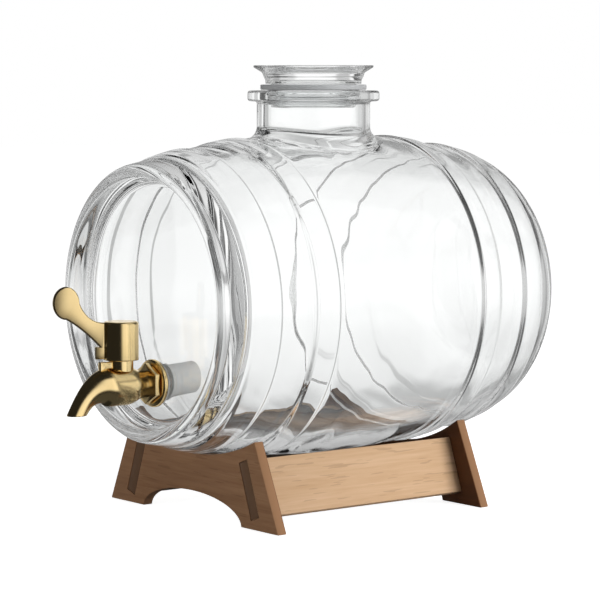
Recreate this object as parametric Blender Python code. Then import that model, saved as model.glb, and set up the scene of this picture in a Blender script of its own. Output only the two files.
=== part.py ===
# Glass barrel drink dispenser on a wooden stand, with a plated tap in its front disc.
# Metres, +Z up. The tap points towards -Y and the barrel lies along Y.
# The origin is on the floor, under the middle of the whole part.

import bmesh
import bpy
from math import atan2
from math import cos
from math import pi
from math import radians
from math import sin
from math import sqrt
from mathutils import Vector

# Clearances, the overrun of every cut, and how finely round shapes are divided
fit_gap = 0.0003
seal_gap = 0.0001
cut_overrun = 0.0020
barrel_sides = 54
neck_sides = 36
tap_sides = 24
small_sides = 22
curve_steps = 5

# Stand plates: a trapezoid board with a cradle arc on top and a low arch between the feet.
# Its widths are shares of the barrel's diameter, and the arch's a share of the bottom width.
plate_thickness = 0.0040
plate_spacing = 0.0994
plate_bottom_share = 0.8733
plate_top_share = 0.6417
cradle_depth = 0.0083
bulge_floor_gap = 0.01914
arch_width_share = 0.5820
arch_height = 0.0095
cradle_points = 12
arch_points = 16

# Stand rails: slanted boards whose full ends show in slots through the plates
rail_thickness = 0.0050
rail_tilt = radians(19.6)
rail_floor_gap = 0.0032
rail_top_gap = 0.00685
rail_edge_inset = 0.0108

# Glass barrel: a bulged body of revolution about Y with four moulded hoops. The outer hoops end
# where the staves end, and the inner ones start at a share of the way there from the middle.
barrel_offset = 0.0074
barrel_radius = 0.0600
barrel_rim_radius = 0.0500
barrel_front_length = 0.0795
barrel_rear_length = 0.0860
barrel_wall = 0.0045
barrel_base_thickness = 0.0050
rim_band_length = 0.0117
rear_shoulder_length = 0.0182
inner_hoop_share = 0.494
inner_hoop_width = 0.0103
outer_hoop_width = 0.0109
hoop_height = 0.0008
hoop_edge = 0.0009
rear_base_dish = 0.0012
cavity_corner_radius = 0.0060

# Front rim and the recessed disc that carries the tap
rim_round = 0.0020
rim_width = 0.0045
recess_depth = 0.0080
recess_radius = 0.0437
recess_fillet = 0.0015
disc_thickness = 0.0045

# Neck
neck_radius = 0.02126
neck_bore_radius = 0.01845
neck_length = 0.0161
neck_flare = 0.0045
neck_flare_turn = radians(80)
neck_flare_sink = 0.0005
bead_radius = 0.02475
bead_height = 0.0041
bead_round = 0.0009

# Push-in glass lid
lid_plug_radius = 0.0160
lid_plug_depth = 0.0062
lid_wall = 0.0024
lid_waist_radius = 0.0180
lid_waist_height = 0.0022
lid_foot_radius = 0.0190
lid_foot_height = 0.0020
lid_flare_radius = 0.0225
lid_flare_height = 0.0027
lid_flare_edge = 0.0006
lid_floor_thickness = 0.0025

# Lid seal
seal_flange_radius = 0.0199
seal_flange_thickness = 0.0019
seal_sleeve_wall = 0.0010
seal_depth = 0.0050
seal_lip_height = 0.0010
seal_edge_round = 0.0004

# Tap: places along the shank axis and about the valve axis
tap_drop = 0.0289
valve_reach = 0.0160
shank_radius = 0.0047
shank_hole_radius = 0.0053
shank_end_inset = 0.0005
inlet_bore_radius = 0.0016
washer_thickness = 0.0008
washer_radius = 0.0080
cover_thickness = 0.0018
cover_radius = 0.0087
cover_bevel = 0.0005
hexagon_thickness = 0.0023
hexagon_corner_radius = 0.0076
hexagon_bevel = 0.0006
inner_washer_thickness = 0.0012
inner_washer_radius = 0.0067
nut_length = 0.0128
nut_radius = 0.00605
nut_bevel = 0.0006

# Tap body: tube, bulb and curved spout swept along one line, and the valve chamber
tube_radius = 0.0048
bulb_radius = 0.0070
bulb_front = 0.0069
bulb_back = 0.0016
tube_front = 0.0091
spout_reach = 0.0192
spout_drop = 0.0093
spout_tip_radius = 0.00325
spout_taper_share = 1.15
spout_pull_shares = (0.60, 0.0)
spout_bore_radius = 0.0022
spout_steps = 9
chamber_radius = 0.00435
chamber_top = 0.0155
chamber_bevel = 0.0004
chamber_bore_radius = 0.0032
chamber_bore_depth = 0.0050
fin_front = 0.0094
fin_width = 0.0018

# Valve plug with its O-rings and gland nut
plug_radius = 0.0029
plug_top = 0.0124
plug_port_radius = 0.0015
ring_offset = 0.00345
ring_groove_width = 0.0010
ring_groove_depth = 0.0006
ring_section_radius = 0.00035
stem_radius = 0.0020
stem_square = 0.0026
stem_square_start = 0.0162
stem_top = 0.0210
gland_thickness = 0.0028
gland_radius = 0.0034
gland_bevel = 0.0003

# Lever: a hollow skirt over the chamber, an arm with a paddle, and a small nub under the arm.
# At rest it stands turned a little to one side, which still closes the valve.
lever_rest_turn = radians(-27)
skirt_radius = 0.0063
skirt_wall = 0.0010
skirt_bottom = 0.0094
skirt_top = 0.0233
skirt_round = 0.0010
skirt_roof = 0.0019
boss_radius = 0.0036
boss_bottom = 0.0164
arm_thickness = 0.0024
arm_root_top = 0.0230
arm_root_bottom = 0.0112
arm_top_pull_shares = (0.69, -0.10)
arm_bottom_pull_shares = (0.52, 0.69)
arm_points = 7
paddle_forward = 0.0196
paddle_rise = 0.0300
paddle_half_length = 0.0048
paddle_half_height = 0.0059
paddle_points = 18
nub_width = 0.0024
nub_front = 0.0094
nub_bottom = 0.0098
nub_top = 0.0142

# Colours
wood_dark_colour = (0.32, 0.17, 0.09)
wood_light_colour = (0.60, 0.40, 0.23)
glass_colour = (0.92, 0.95, 0.95)
gold_colour = (0.62, 0.39, 0.13)
seal_colour = (0.34, 0.35, 0.36)
nut_colour = (0.26, 0.27, 0.28)
washer_colour = (0.60, 0.60, 0.58)


def hoop_spans():
    """Start and end of each hoop along Y, from the middle of the barrel, front hoops first."""
    front_end = barrel_front_length - rim_band_length
    rear_end = barrel_rear_length - rear_shoulder_length
    front, rear = [[(end * inner_hoop_share, end * inner_hoop_share + inner_hoop_width),
                    (end - outer_hoop_width, end)] for end in (front_end, rear_end)]
    return [(-end, -start) for start, end in reversed(front)] + rear


def stave_radius(y):
    """Outer radius of the bulged body without its hoops."""
    return barrel_radius - (barrel_radius - barrel_rim_radius) * (y / barrel_front_length) ** 2


def glass_radius(y):
    """Outer radius of the body with its hoops."""
    radius = stave_radius(y)
    for start, end in hoop_spans():
        if start < y < end:
            radius += hoop_height * min(1, (y - start) / hoop_edge, (end - y) / hoop_edge)
    return radius


def plate_reach(face_y):
    """Largest radius of the glass over one plate's thickness, whose outer face is at face_y."""
    inward = -1 if face_y > 0 else 1
    steps = curve_steps * 2
    places = [face_y + inward * plate_thickness * i / steps - barrel_offset for i in range(steps + 1)]
    return max(glass_radius(y) for y in places)


# Heights and places that follow from the sizes above
front_plate_y = -plate_spacing / 2
rear_plate_y = plate_spacing / 2
barrel_axis_z = bulge_floor_gap + barrel_radius
plate_height = barrel_axis_z - plate_reach(front_plate_y) - fit_gap + cradle_depth
plate_bottom_width = 2 * barrel_radius * plate_bottom_share
plate_top_width = 2 * barrel_radius * plate_top_share
arch_width = plate_bottom_width * arch_width_share
rail_rise = plate_height - rail_floor_gap - rail_top_gap
rail_board_height = (rail_rise - rail_thickness * sin(rail_tilt)) / cos(rail_tilt)
disc_y = barrel_offset - barrel_front_length + recess_depth
valve_y = disc_y - valve_reach
tap_z = barrel_axis_z - tap_drop
neck_rim_z = barrel_axis_z + barrel_radius + neck_length
paddle_reach = ((paddle_forward + paddle_half_length) * cos(lever_rest_turn)
                + arm_thickness / 2 * abs(sin(lever_rest_turn)))
most_forward_y = valve_y - max(spout_reach + spout_tip_radius, paddle_reach)
most_rearward_y = barrel_offset + barrel_rear_length
stand_y = -(most_forward_y + most_rearward_y) / 2
turn_forward = (pi / 2, 0, 0)
turn_rearward = (-pi / 2, 0, 0)
turn_lever = (0, 0, lever_rest_turn)
turn_port = (pi / 2, 0, pi / 2 + lever_rest_turn)


def clear_scene():
    for item in list(bpy.data.objects):
        bpy.data.objects.remove(item, do_unlink=True)


def make_material(name, colour, roughness, metallic=0.0, alpha=1.0):
    material = bpy.data.materials.new(name)
    material.use_nodes = True
    shader = material.node_tree.nodes["Principled BSDF"]
    shader.inputs["Base Color"].default_value = (*colour, 1.0)
    shader.inputs["Roughness"].default_value = roughness
    shader.inputs["Metallic"].default_value = metallic
    shader.inputs["Alpha"].default_value = alpha
    return material


def add_object(name, bm, place, turn=(0, 0, 0), material=None, cutter=False):
    """Turns a bmesh into an object at a place given in the stand's own frame."""
    bmesh.ops.remove_doubles(bm, verts=bm.verts, dist=seal_gap / 100)
    bmesh.ops.recalc_face_normals(bm, faces=bm.faces)
    mesh = bpy.data.meshes.new(name)
    bm.to_mesh(mesh)
    bm.free()
    mesh.shade_smooth()
    mesh.set_sharp_from_angle(angle=radians(30))
    item = bpy.data.objects.new(name, mesh)
    bpy.context.scene.collection.objects.link(item)
    item.location = Vector(place) + Vector((0, stand_y, 0))
    item.rotation_euler = turn
    if material:
        mesh.materials.append(material)
    if cutter:
        item.hide_render = True
        item.display_type = 'WIRE'
    return item


def combine(item, other, operation):
    """Adds an exact Boolean to item that joins or cuts it with other."""
    change = item.modifiers.new(other.name, 'BOOLEAN')
    change.operation = operation
    change.solver = 'EXACT'
    change.object = other


def lathe(outline, sides):
    """Spins (radius, height) points about Z. The outline is a ring, or runs from axis to axis."""
    bm = bmesh.new()
    verts = [bm.verts.new((radius, 0, height)) for radius, height in outline]
    for a, b in zip(verts, verts[1:]):
        bm.edges.new((a, b))
    if outline[0][0] > 0 or outline[-1][0] > 0:
        bm.edges.new((verts[-1], verts[0]))
    bmesh.ops.spin(bm, geom=verts + bm.edges[:], cent=(0, 0, 0), axis=(0, 0, 1), dvec=(0, 0, 0),
                   angle=2 * pi, steps=sides, use_merge=True, use_duplicate=False)
    bmesh.ops.remove_doubles(bm, verts=bm.verts, dist=seal_gap / 100)
    bm.normal_update()
    middles = [v for v in bm.verts if v.co.xy.length < seal_gap / 100
               and all(abs(face.normal.z) > cos(radians(1)) for face in v.link_faces)]
    bmesh.ops.dissolve_verts(bm, verts=middles)
    return bm


def sweep(stations, sides):
    """Skins circles of given (centre, direction, radius), whose centres lie in one YZ plane."""
    bm = bmesh.new()
    across = Vector((1, 0, 0))
    rings = []
    for centre, direction, radius in stations:
        upright = direction.normalized().cross(across)
        ring = []
        for i in range(sides):
            angle = 2 * pi * i / sides
            ring.append(bm.verts.new(centre + radius * (cos(angle) * across + sin(angle) * upright)))
        rings.append(ring)
    for a, b in zip(rings, rings[1:]):
        for i in range(sides):
            j = (i + 1) % sides
            bm.faces.new((a[i], a[j], b[j], b[i]))
    bm.faces.new(rings[0])
    bm.faces.new(rings[-1])
    bmesh.ops.triangulate(bm, faces=[face for face in bm.faces if len(face.verts) == 4])
    return bm


def extrude_outline(points, offset):
    """Makes a board from a flat outline and the vector across its thickness."""
    bm = bmesh.new()
    face = bm.faces.new([bm.verts.new(point) for point in points])
    grown = bmesh.ops.extrude_face_region(bm, geom=[face])
    moved = [part for part in grown["geom"] if isinstance(part, bmesh.types.BMVert)]
    bmesh.ops.translate(bm, verts=moved, vec=offset)
    return bm


def block(low, high):
    """A box between two corners."""
    bm = bmesh.new()
    bmesh.ops.create_cube(bm, size=1)
    size = Vector(high) - Vector(low)
    middle = (Vector(high) + Vector(low)) / 2
    bmesh.ops.scale(bm, verts=bm.verts, vec=size)
    bmesh.ops.translate(bm, verts=bm.verts, vec=middle)
    return bm


def ring_outline(inner, outer, low, high, bevel=0.0):
    """Section of a flat ring, with its outer corners bevelled where bevel is set."""
    if not bevel:
        return [(inner, low), (outer, low), (outer, high), (inner, high)]
    return [(inner, low), (outer - bevel, low), (outer, low + bevel), (outer, high - bevel),
            (outer - bevel, high), (inner, high)]


def arc(centre, radius, start, end, steps):
    """Points of an arc in a (radius, height) section, between two angles in radians."""
    angles = [start + (end - start) * i / steps for i in range(steps + 1)]
    return [(centre[0] + radius * cos(a), centre[1] + radius * sin(a)) for a in angles]


def bend(start, pull_shares, end, steps):
    """Points of a curve from start to end, drawn towards a point at shares of the way between."""
    pull = [a + share * (b - a) for a, share, b in zip(start, pull_shares, end)]
    points = []
    for i in range(steps + 1):
        t = i / steps
        points.append(tuple((1 - t) ** 2 * a + 2 * t * (1 - t) * m + t ** 2 * b
                            for a, m, b in zip(start, pull, end)))
    return points


def plate_half_width(z):
    return (plate_bottom_width + (plate_top_width - plate_bottom_width) * z / plate_height) / 2


def cradle_line(lowest):
    """Arc from the plate's right top corner down to its lowest point and up to the left corner."""
    half = plate_top_width / 2
    depth = plate_height - lowest
    radius = (half ** 2 + depth ** 2) / (2 * depth)
    points = []
    for i in range(cradle_points + 1):
        x = half * (1 - 2 * i / cradle_points)
        points.append((x, lowest + radius - sqrt(radius ** 2 - x ** 2)))
    return points


def arch_line():
    """Half ellipse over the gap between the feet, from left to right."""
    half = arch_width / 2
    angles = [pi - pi * i / arch_points for i in range(arch_points + 1)]
    return [(half * cos(a), arch_height * sin(a)) for a in angles]


def rail_block(growth, end_growth):
    """A rail's board, grown all round by growth and at both ends by end_growth."""
    half_t = rail_thickness / 2 + growth
    half_h = rail_board_height / 2 + growth
    half_l = plate_spacing / 2 + end_growth
    return block((-half_t, -half_l, -half_h), (half_t, half_l, half_h))


def rail_place(side):
    z = rail_floor_gap + rail_rise / 2
    return (side * (plate_half_width(z) - rail_edge_inset), 0, z)


def build_plate(name, face_y, rail_slots, wood):
    """One end board of the stand. Its cradle clears the glass that lies over it by the fit gap."""
    lowest = barrel_axis_z - plate_reach(face_y) - fit_gap
    half = plate_bottom_width / 2
    outline = [(-half, 0), *arch_line(), (half, 0), *cradle_line(lowest)]
    inward = -1 if face_y > 0 else 1
    bm = extrude_outline([(x, 0, z) for x, z in outline], (0, inward * plate_thickness, 0))
    plate = add_object(name, bm, (0, face_y, 0), material=wood)
    for slot in rail_slots:
        combine(plate, slot, 'DIFFERENCE')


def build_stand(wood_dark, wood_light):
    slots = []
    for side, name in ((-1, "left"), (1, "right")):
        turn = (0, -side * rail_tilt, 0)
        add_object(f"stand_{name}_rail", rail_block(0, 0), rail_place(side), turn, wood_light)
        slot = rail_block(fit_gap, cut_overrun)
        slots.append(add_object(f"slot_cutter_{name}", slot, rail_place(side), turn, cutter=True))
    build_plate("stand_front_plate", front_plate_y, slots, wood_dark)
    build_plate("stand_rear_plate", rear_plate_y, slots, wood_dark)


def rear_shoulder(start, end, inset, steps):
    """Arc that leaves the bulge at start without a kink and meets the flat rear at end squarely."""
    slope = -2 * (barrel_radius - barrel_rim_radius) * start / barrel_front_length ** 2
    lean = -atan2(slope, 1)
    radius = (end - start) / (1 - sin(lean))
    centre = (stave_radius(start) - inset - radius * cos(lean), start - radius * sin(lean))
    return arc(centre, radius, lean, pi / 2, steps)


def barrel_outline():
    """Outer section of the body, from the front disc over the rim and hoops to the rear base."""
    front = -barrel_front_length
    floor = front + recess_depth
    outer_rim = stave_radius(front + rim_round)
    inner_rim = outer_rim - rim_width
    outline = [(0, floor), (recess_radius - recess_fillet, floor), (recess_radius, floor - recess_fillet)]
    outline += [(inner_rim, front + rim_round / 2), (inner_rim + rim_round / 2, front)]
    outline += arc((outer_rim - rim_round, front + rim_round), rim_round, -pi / 2, 0, 3)
    spans = hoop_spans()
    first = spans[0][0]
    outline.append((stave_radius((front + rim_round + first) / 2), (front + rim_round + first) / 2))
    for index, (start, end) in enumerate(spans):
        for y in (start, start + hoop_edge, (start + end) / 2, end - hoop_edge, end):
            outline.append((glass_radius(y), y))
        if index + 1 < len(spans):
            gap = spans[index + 1][0] - end
            count = curve_steps if index == 1 else 2
            for i in range(1, count):
                y = end + gap * i / count
                outline.append((stave_radius(y), y))
    outline += rear_shoulder(spans[-1][1], barrel_rear_length, 0, curve_steps + 1)[1:]
    dish = (outline[-1][0] / 2, barrel_rear_length - rear_base_dish)
    outline += [dish, (0, dish[1])]
    return outline


def cavity_outline():
    """Inner section, one wall inside the body, with rounded corners at both ends."""
    front = -barrel_front_length + recess_depth + disc_thickness
    back = barrel_rear_length - barrel_base_thickness
    corner = cavity_corner_radius
    front_radius = stave_radius(front) - barrel_wall
    outline = [(0, front)]
    outline += arc((front_radius - corner, front + corner), corner, -pi / 2, 0, 3)
    start = barrel_rear_length - rear_shoulder_length
    steps = curve_steps + 2
    for i in range(1, steps):
        y = front + corner + (start - front - corner) * i / steps
        outline.append((stave_radius(y) - barrel_wall, y))
    outline += rear_shoulder(start, back, barrel_wall, curve_steps)
    outline.append((0, back))
    return outline


def neck_form():
    """Neck with a bead at its rim. Its foot flares out to follow the bulged body all round."""
    top = barrel_radius + neck_length
    bead_low = top - bead_height
    flares = [neck_flare_turn * i / curve_steps for i in range(curve_steps + 1)]
    straight = [(neck_radius, bead_low), (bead_radius - bead_round, bead_low),
                (bead_radius, bead_low + bead_round), (bead_radius, top - bead_round),
                (bead_radius - bead_round, top)]
    bm = bmesh.new()
    columns = []
    for i in range(neck_sides):
        angle = 2 * pi * i / neck_sides
        column = [(neck_radius, barrel_radius - 2 * barrel_wall)]
        foot = [(neck_radius + neck_flare, -neck_flare_sink)]
        foot += [(neck_radius + neck_flare * (1 - cos(f)), neck_flare * (1 - sin(f))) for f in flares[::-1]]
        for radius, rise in foot:
            skin = sqrt(stave_radius(radius * sin(angle)) ** 2 - (radius * cos(angle)) ** 2)
            column.append((radius, skin + rise))
        columns.append([bm.verts.new((r * cos(angle), r * sin(angle), z)) for r, z in column + straight])
    for i, a in enumerate(columns):
        b = columns[(i + 1) % neck_sides]
        for k in range(len(a) - 1):
            bm.faces.new((a[k], b[k], b[k + 1], a[k + 1]))
    bm.faces.new([column[0] for column in columns])
    bm.faces.new([column[-1] for column in columns])
    bmesh.ops.triangulate(bm, faces=[face for face in bm.faces if len(face.verts) == 4])
    return bm


def build_barrel(glass):
    place = (0, barrel_offset, barrel_axis_z)
    body = add_object("glass_barrel", lathe(barrel_outline(), barrel_sides), place, turn_rearward, glass)
    neck = add_object("neck_form", neck_form(), place, cutter=True)
    cavity = add_object("cavity_cutter", lathe(cavity_outline(), barrel_sides), place, turn_rearward,
                        cutter=True)
    bore_top = barrel_radius + neck_length + cut_overrun
    bore = ring_outline(0, neck_bore_radius, barrel_radius - 2 * barrel_wall, bore_top)
    bore_cutter = add_object("neck_bore_cutter", lathe(bore, neck_sides), place, cutter=True)
    hole = ring_outline(0, shank_hole_radius, -disc_thickness - cut_overrun, cut_overrun)
    hole_cutter = add_object("tap_hole_cutter", lathe(hole, tap_sides), (0, disc_y, tap_z), turn_forward,
                             cutter=True)
    combine(body, neck, 'UNION')
    combine(body, cavity, 'DIFFERENCE')
    combine(body, bore_cutter, 'DIFFERENCE')
    combine(body, hole_cutter, 'DIFFERENCE')


def build_lid(glass, silicone):
    """Lid and seal stand in the neck. Heights are from the neck's rim."""
    place = (0, barrel_offset, neck_rim_z)
    flange_top = fit_gap + seal_flange_thickness
    shoulder = flange_top + fit_gap
    waist_top = shoulder + lid_waist_height
    foot_top = waist_top + lid_foot_height
    flare_top = foot_top + lid_flare_height
    floor_top = foot_top + lid_flare_edge
    outline = [(0, floor_top), (lid_foot_radius - lid_flare_edge, floor_top),
               (lid_flare_radius - lid_flare_edge, flare_top), (lid_flare_radius, flare_top)]
    outline += [(lid_flare_radius, flare_top - lid_flare_edge), (lid_foot_radius, foot_top)]
    outline += bend((lid_foot_radius, foot_top - lid_foot_height / 2), (1.0, 0.3),
                    (lid_waist_radius, waist_top - lid_foot_height / 2), 3)
    outline += [(lid_waist_radius, shoulder), (lid_plug_radius, shoulder),
                (lid_plug_radius, -lid_plug_depth), (lid_plug_radius - lid_wall, -lid_plug_depth),
                (lid_plug_radius - lid_wall, floor_top - lid_floor_thickness),
                (0, floor_top - lid_floor_thickness)]
    add_object("lid_glass", lathe(outline, neck_sides), place, material=glass)
    inner = lid_plug_radius + fit_gap
    sleeve = inner + seal_sleeve_wall
    lip = neck_bore_radius - fit_gap
    lips = []
    for share in (0.30, 0.80):
        middle = -seal_depth * share
        lips += [(sleeve, middle + seal_lip_height), (lip, middle), (sleeve, middle - seal_lip_height / 2)]
    section = [(inner, flange_top), (seal_flange_radius - seal_edge_round, flange_top),
               (seal_flange_radius, flange_top - seal_edge_round),
               (seal_flange_radius, fit_gap + seal_edge_round),
               (seal_flange_radius - seal_edge_round, fit_gap), (sleeve, fit_gap),
               *lips, (sleeve, -seal_depth), (inner, -seal_depth)]
    add_object("lid_seal", lathe(section, neck_sides), place, material=silicone)


def shank_stack():
    """Distances in front of the disc's face, from the glass out to the hexagon's front."""
    washer = fit_gap
    cover = washer + washer_thickness + fit_gap
    hexagon = cover + cover_thickness + fit_gap
    return washer, cover, hexagon, hexagon + hexagon_thickness


def inner_stack():
    """Distances behind the disc's face, from the inner washer to the end of the backing nut."""
    washer = disc_thickness + fit_gap
    nut = washer + inner_washer_thickness + fit_gap
    return washer, nut, nut + nut_length


def build_shank_rings(silicone, gold, grey):
    place = (0, disc_y, tap_z)
    bore = shank_radius + fit_gap
    washer, cover, hexagon, hexagon_front = shank_stack()
    inner_washer, nut, nut_end = inner_stack()
    rings = (("tap_outer_washer", washer, washer + washer_thickness, washer_radius, 0, silicone),
             ("tap_cover_disc", cover, cover + cover_thickness, cover_radius, cover_bevel, gold),
             ("tap_inner_washer", -inner_washer - inner_washer_thickness, -inner_washer,
              inner_washer_radius, 0, silicone),
             ("tap_backing_nut", -nut_end, -nut, nut_radius, nut_bevel, grey))
    for name, low, high, radius, bevel, material in rings:
        section = ring_outline(bore, radius, low, high, bevel)
        add_object(name, lathe(section, tap_sides), place, turn_forward, material)


def spout_line(from_back, radius_of, start, overrun=0.0):
    """Stations along the tap's centre line, from behind the valve axis to the spout's tip."""
    stations = []
    forward = Vector((0, -1, 0))
    if from_back:
        stations.append((Vector((0, start, 0)), forward, radius_of(0.0, start)))
        for i in range(curve_steps + 1):
            y = tube_front + (bulb_back - tube_front) * i / curve_steps
            stations.append((Vector((0, y, 0)), forward, radius_of(0.0, y)))
    else:
        stations.append((Vector((0, start, 0)), forward, radius_of(0.0, start)))
    path = bend((bulb_front, 0), spout_pull_shares, (spout_reach, -spout_drop), spout_steps)
    for i, (reach, rise) in enumerate(path):
        t = pi / 2 * i / spout_steps
        direction = Vector((0, -cos(t), -sin(t)))
        stations.append((Vector((0, -reach, rise)), direction, radius_of(t, -reach)))
    if overrun:
        tip, direction, radius = stations[-1]
        stations.append((tip + direction.normalized() * overrun, direction, radius))
    return stations


def body_radius(t, y):
    """Outer radius of the casting: tube, bulb, then a taper along the spout."""
    if t > 0:
        return spout_tip_radius + (bulb_radius - spout_tip_radius) * (1 - sin(t)) ** spout_taper_share
    if y <= bulb_back:
        return bulb_radius
    blend = min(1, (y - bulb_back) / (tube_front - bulb_back))
    return tube_radius + (bulb_radius - tube_radius) * (1 + cos(pi * blend)) / 2


def build_tap_body(gold):
    place = (0, valve_y, tap_z)
    washer, cover, hexagon, hexagon_front = shank_stack()
    hexagon_back_y = valve_reach - hexagon
    hexagon_front_y = valve_reach - hexagon_front
    shank_end_y = valve_reach + inner_stack()[2] - shank_end_inset
    line = spout_line(True, body_radius, hexagon_back_y - hexagon_bevel)
    body = add_object("tap_body", sweep(line, tap_sides), place, material=gold)
    shank = ring_outline(0, shank_radius, -shank_end_y, -hexagon_front_y - hexagon_bevel, chamber_bevel)
    chamber = ring_outline(0, chamber_radius, 0, chamber_top, chamber_bevel)
    nut_section = [(0, -hexagon_back_y), (hexagon_corner_radius, -hexagon_back_y),
                   (hexagon_corner_radius, -hexagon_front_y - hexagon_bevel),
                   (hexagon_corner_radius - hexagon_bevel, -hexagon_front_y), (0, -hexagon_front_y)]
    fin = block((-fin_width / 2, -fin_front, 0),
                (fin_width / 2, -chamber_radius / 2, skirt_bottom - fit_gap))
    forms = (("shank_form", lathe(shank, tap_sides), turn_forward),
             ("hexagon_form", lathe(nut_section, 6), (pi / 2, pi / 2, 0)),
             ("chamber_form", lathe(chamber, tap_sides), (0, 0, 0)),
             ("fin_form", fin, (0, 0, 0)))
    for name, bm, turn in forms:
        combine(body, add_object(name, bm, place, turn, cutter=True), 'UNION')
    bore = ring_outline(0, chamber_bore_radius, -chamber_bore_depth, chamber_top + cut_overrun)
    seat = ring_outline(0, gland_radius + fit_gap, plug_top, chamber_top + cut_overrun)
    inlet = ring_outline(0, inlet_bore_radius, -shank_end_y - cut_overrun, 0)
    outlet = spout_line(False, lambda t, y: spout_bore_radius, 0.0, cut_overrun)
    cutters = (("chamber_bore_cutter", lathe(bore, small_sides), (0, 0, 0)),
               ("gland_seat_cutter", lathe(seat, small_sides), (0, 0, 0)),
               ("inlet_cutter", lathe(inlet, small_sides), turn_forward),
               ("outlet_cutter", sweep(outlet, small_sides), (0, 0, 0)))
    for name, bm, turn in cutters:
        combine(body, add_object(name, bm, place, turn, cutter=True), 'DIFFERENCE')


def build_valve(gold, silicone):
    place = (0, valve_y, tap_z)
    groove = plug_radius - ring_groove_depth
    bottom = -chamber_bore_depth + fit_gap
    section = [(0, bottom), (plug_radius, bottom)]
    for middle in (-ring_offset, ring_offset):
        low = middle - ring_groove_width / 2
        high = middle + ring_groove_width / 2
        section += [(plug_radius, low), (groove, low), (groove, high), (plug_radius, high)]
    section += [(plug_radius, plug_top), (stem_radius, plug_top), (stem_radius, stem_square_start),
                (0, stem_square_start)]
    plug = add_object("valve_plug", lathe(section, small_sides), place, turn_lever, gold)
    half = stem_square / 2
    square = block((-half, -half, stem_square_start - cut_overrun / 2), (half, half, stem_top))
    port = ring_outline(0, plug_port_radius, -plug_radius - cut_overrun, plug_radius + cut_overrun)
    combine(plug, add_object("square_form", square, place, turn_lever, cutter=True), 'UNION')
    combine(plug, add_object("port_cutter", lathe(port, small_sides), place, turn_port, cutter=True),
            'DIFFERENCE')
    centre = groove + seal_gap + ring_section_radius
    for name, z in (("plug_o_ring_lower", -ring_offset), ("plug_o_ring_upper", ring_offset)):
        ring = arc((centre, z), ring_section_radius, 0, 2 * pi, 8)[:-1]
        add_object(name, lathe(ring, small_sides), place, material=silicone)
    gland_low = plug_top + fit_gap
    gland = ring_outline(stem_radius + fit_gap, gland_radius, gland_low, gland_low + gland_thickness,
                         gland_bevel)
    add_object("valve_gland_nut", lathe(gland, small_sides), place, material=gold)


def arm_outline():
    """Side outline of arm and paddle as (forward, height) points from the valve axis."""
    root = skirt_radius - skirt_wall / 2
    throat = (paddle_forward - paddle_half_length, paddle_rise)
    keel = (paddle_forward, paddle_rise - paddle_half_height)
    upper = bend((root, arm_root_top), arm_top_pull_shares, throat, arm_points)
    lower = bend((root, arm_root_bottom), arm_bottom_pull_shares, keel, arm_points)
    angles = [pi - 1.5 * pi * i / paddle_points for i in range(1, paddle_points)]
    rim = [(paddle_forward + paddle_half_length * cos(a), paddle_rise + paddle_half_height * sin(a))
           for a in angles]
    return upper + rim + lower[::-1]


def build_lever(gold):
    place = (0, valve_y, tap_z)
    inner = skirt_radius - skirt_wall
    roof = skirt_top - skirt_roof
    section = [(0, boss_bottom), (boss_radius, boss_bottom), (boss_radius, roof), (inner, roof),
               (inner, skirt_bottom), (skirt_radius, skirt_bottom)]
    section += arc((skirt_radius - skirt_round, skirt_top - skirt_round), skirt_round, 0, pi / 2, 3)
    section.append((0, skirt_top))
    lever = add_object("tap_lever", lathe(section, tap_sides), place, turn_lever, gold)
    half = arm_thickness / 2
    arm = extrude_outline([(-half, -f, z) for f, z in arm_outline()], (arm_thickness, 0, 0))
    nub = block((-nub_width / 2, -nub_front, nub_bottom),
                (nub_width / 2, -skirt_radius + skirt_wall / 2, nub_top))
    socket_half = stem_square / 2 + fit_gap
    socket = block((-socket_half, -socket_half, boss_bottom - cut_overrun),
                   (socket_half, socket_half, stem_top + fit_gap))
    combine(lever, add_object("arm_form", arm, place, turn_lever, cutter=True), 'UNION')
    combine(lever, add_object("nub_form", nub, place, turn_lever, cutter=True), 'UNION')
    combine(lever, add_object("socket_cutter", socket, place, turn_lever, cutter=True), 'DIFFERENCE')


def main():
    clear_scene()
    wood_dark = make_material("stand_plate_wood", wood_dark_colour, 0.62)
    wood_light = make_material("stand_rail_wood", wood_light_colour, 0.58)
    glass = make_material("clear_glass", glass_colour, 0.03, alpha=0.35)
    gold = make_material("gold_plate", gold_colour, 0.16, metallic=1.0)
    seal = make_material("lid_silicone", seal_colour, 0.5)
    washer = make_material("washer_silicone", washer_colour, 0.5)
    grey = make_material("nut_plastic", nut_colour, 0.45)
    build_stand(wood_dark, wood_light)
    build_barrel(glass)
    build_lid(glass, seal)
    build_shank_rings(washer, gold, grey)
    build_tap_body(gold)
    build_valve(gold, washer)
    build_lever(gold)


main()
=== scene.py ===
from math import atan2, cos, pi, radians, sin, sqrt

import bmesh
import bpy
from mathutils import Matrix, Vector


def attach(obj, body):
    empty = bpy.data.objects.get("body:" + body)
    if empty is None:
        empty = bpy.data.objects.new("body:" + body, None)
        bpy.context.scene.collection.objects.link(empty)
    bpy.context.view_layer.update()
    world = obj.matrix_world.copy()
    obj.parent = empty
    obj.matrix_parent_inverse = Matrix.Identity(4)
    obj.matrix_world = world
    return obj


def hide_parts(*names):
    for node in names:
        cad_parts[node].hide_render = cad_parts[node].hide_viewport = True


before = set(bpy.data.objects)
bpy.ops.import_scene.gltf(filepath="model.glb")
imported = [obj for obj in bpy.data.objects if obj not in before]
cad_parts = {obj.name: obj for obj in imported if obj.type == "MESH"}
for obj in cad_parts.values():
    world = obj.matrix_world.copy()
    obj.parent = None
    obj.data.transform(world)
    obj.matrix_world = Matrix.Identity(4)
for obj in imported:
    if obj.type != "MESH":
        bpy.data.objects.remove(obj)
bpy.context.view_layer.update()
print("frame loaded:", len(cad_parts), "nodes")

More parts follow.
